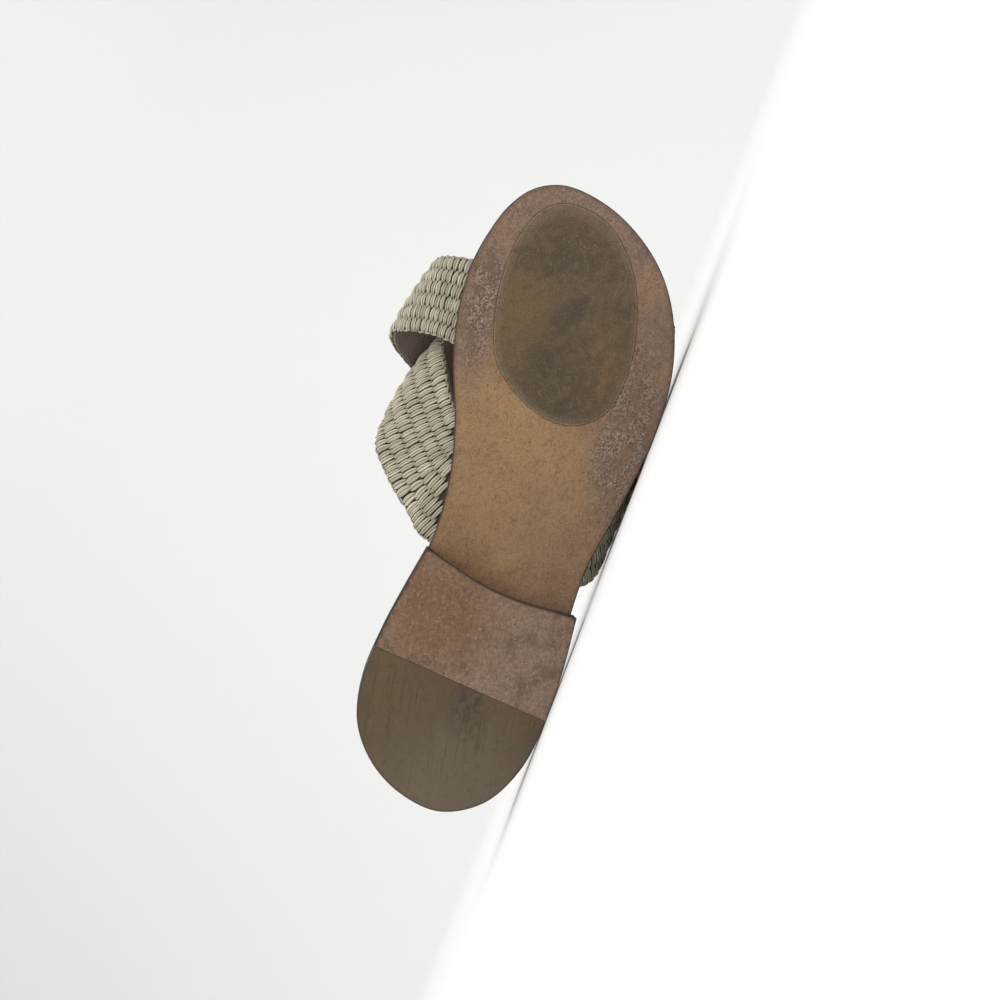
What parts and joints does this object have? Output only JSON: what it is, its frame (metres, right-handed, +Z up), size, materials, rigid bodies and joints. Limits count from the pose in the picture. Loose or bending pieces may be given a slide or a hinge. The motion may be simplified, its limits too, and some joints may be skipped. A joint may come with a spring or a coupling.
{
  "type": "slide sandal",
  "caption": "Flat left slide with crossed bands of ribbed raffia weave over a tan leather sole and a low heel, lying on its outer side.",
  "frame": {"origin": "centre of the bounding box, on the floor that the shoe lies on", "axes": "+X towards the toe, -Y out of the sole and a little down, +Z up through the medial side"},
  "size_m": [0.2506, 0.0688, 0.1151],
  "materials": {
    "sole_leather": "satin, worn",
    "patch_rubber": "matt, worn",
    "heel_board": "rough leather board",
    "heel_rubber": "matt, worn",
    "footbed_leather": "smooth",
    "raffia": "woven raffia"
  },
  "bodies": {
    "root": {"outsole": "sole_leather", "forefoot_patch": "patch_rubber", "heel_block": "heel_board", "heel_top_piece": "heel_rubber", "footbed": "footbed_leather", "upper": "raffia"}
  },
  "joints": []
}
